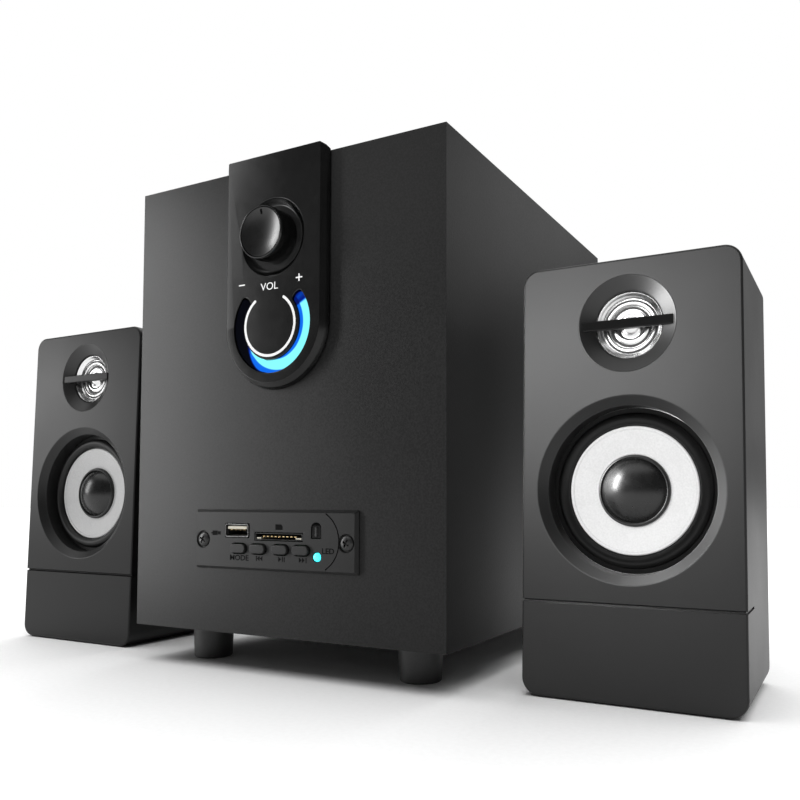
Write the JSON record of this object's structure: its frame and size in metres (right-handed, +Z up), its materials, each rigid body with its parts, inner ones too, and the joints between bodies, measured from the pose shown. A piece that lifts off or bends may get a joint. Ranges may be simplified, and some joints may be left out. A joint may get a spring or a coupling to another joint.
{
  "type": "desktop speaker set",
  "caption": "Desktop speaker set: a square subwoofer box with knob, lit ring and media sockets, and a pair of leaning satellites with a tweeter above a white-coned woofer.",
  "frame": {"origin": "bottom centre of the whole set's box, on the desk", "axes": "+X to the listener's right, +Y away from the listener, +Z up"},
  "size_m": [0.3786, 0.2226, 0.2251],
  "materials": {
    "wrap": "matte black fine-grained vinyl wrap over fibreboard",
    "satin_shell": "satin dark grey moulding",
    "matte_black": "fine spark-eroded black moulding",
    "gloss_black": "polished black moulding",
    "rubber": "soft black rubber",
    "white_cone": "smooth white coated cone",
    "black_cone": "fibrous black pressed cone",
    "chrome": "bright ringed reflector",
    "steel": "zinc plated or nickel plated sheet and screws",
    "painted_plate": "black powder coated steel plate",
    "ferrite": "sintered magnet and iron motor parts",
    "board": "green solder mask",
    "light": "frosted window lit cyan blue from behind",
    "smoked": "dark smoked window"
  },
  "bodies": {
    "subwoofer": {"sub_cabinet": "wrap", "sub_rear_panel": "wrap", "foot_front_left": "rubber", "foot_front_right": "rubber", "foot_rear_left": "rubber", "foot_rear_right": "rubber", "control_panel": "gloss_black", "light_window": "light", "control_board": "board", "media_plate": "matte_black", "media_board": "board", "usb_port": "steel", "card_slot": "steel", "ir_window": "smoked", "led_lens": "light", "media_screw_left": "steel", "media_screw_right": "steel", "sub_woofer_flange": "steel", "sub_woofer_basket": "steel", "sub_woofer_motor": "ferrite", "sub_woofer_surround": "rubber", "port_tube": "matte_black", "amp_plate": "painted_plate", "power_switch": "matte_black", "socket_block": "matte_black", "mains_inlet": "matte_black", "transformer": "steel", "amp_board": "board"},
    "volume_control": {"volume_knob": "gloss_black", "volume_shaft": "steel"},
    "mode_key": {"button_mode": "matte_black"},
    "previous_key": {"button_previous": "matte_black"},
    "play_key": {"button_play": "matte_black"},
    "next_key": {"button_next": "matte_black"},
    "bass_control": {"bass_knob": "matte_black"},
    "power_key": {"power_rocker": "gloss_black"},
    "sub_cone": {"sub_woofer_cone": "black_cone", "sub_woofer_dust_cap": "black_cone"},
    "left_satellite": {"left_front_shell": "satin_shell", "left_rear_cover": "matte_black", "left_pad": "rubber", "left_tweeter_horn": "matte_black", "left_tweeter_dome": "chrome", "left_lead_socket": "matte_black", "left_woofer_basket": "steel", "left_woofer_motor": "ferrite", "left_woofer_surround": "rubber"},
    "left_cone": {"left_woofer_cone": "white_cone", "left_woofer_dust_cap": "gloss_black"},
    "right_satellite": {"right_front_shell": "satin_shell", "right_rear_cover": "matte_black", "right_pad": "rubber", "right_tweeter_horn": "matte_black", "right_tweeter_dome": "chrome", "right_lead_socket": "matte_black", "right_woofer_basket": "steel", "right_woofer_motor": "ferrite", "right_woofer_surround": "rubber"},
    "right_cone": {"right_woofer_cone": "white_cone", "right_woofer_dust_cap": "gloss_black"}
  },
  "joints": [
    {"name": "volume_turn", "type": "hinge", "parent": "subwoofer", "child": "volume_control", "pos_m": [0.00211, -0.1113, 0.1881], "axis": [0, -1, 0], "range_deg": [-150, 150]},
    {"name": "mode_press", "type": "slide", "parent": "subwoofer", "child": "mode_key", "axis": [0, 1, 0], "range_m": [0, 0.0008], "stiffness_N_per_m": 600, "springref_m": -0.0005},
    {"name": "previous_press", "type": "slide", "parent": "subwoofer", "child": "previous_key", "axis": [0, 1, 0], "range_m": [0, 0.0008], "stiffness_N_per_m": 600, "springref_m": -0.0005},
    {"name": "play_press", "type": "slide", "parent": "subwoofer", "child": "play_key", "axis": [0, 1, 0], "range_m": [0, 0.0008], "stiffness_N_per_m": 600, "springref_m": -0.0005},
    {"name": "next_press", "type": "slide", "parent": "subwoofer", "child": "next_key", "axis": [0, 1, 0], "range_m": [0, 0.0008], "stiffness_N_per_m": 600, "springref_m": -0.0005},
    {"name": "bass_turn", "type": "hinge", "parent": "subwoofer", "child": "bass_control", "pos_m": [0.03211, 0.1056, 0.126], "axis": [0, 1, 0], "range_deg": [-140, 140]},
    {"name": "power_rock", "type": "hinge", "parent": "subwoofer", "child": "power_key", "pos_m": [-0.03189, 0.1009, 0.126], "axis": [-1, 0, 0], "range_deg": [0, 16]},
    {"name": "sub_cone_travel", "type": "slide", "parent": "subwoofer", "child": "sub_cone", "axis": [-1, 0, 0], "range_m": [-0.004, 0.004], "stiffness_N_per_m": 1500},
    {"name": "left_cone_travel", "type": "slide", "parent": "left_satellite", "child": "left_cone", "axis": [0, -0.9997, 0.026], "range_m": [-0.002, 0.002], "stiffness_N_per_m": 800},
    {"name": "right_cone_travel", "type": "slide", "parent": "right_satellite", "child": "right_cone", "axis": [0, -0.9997, 0.026], "range_m": [-0.002, 0.002], "stiffness_N_per_m": 800},
    {"name": "left_satellite_slide", "type": "slide", "parent": "subwoofer", "child": "left_satellite", "axis": [-1, 0, 0], "range_m": [0, 0.12]},
    {"name": "right_satellite_slide", "type": "slide", "parent": "subwoofer", "child": "right_satellite", "axis": [1, 0, 0], "range_m": [0, 0.12]}
  ]
}
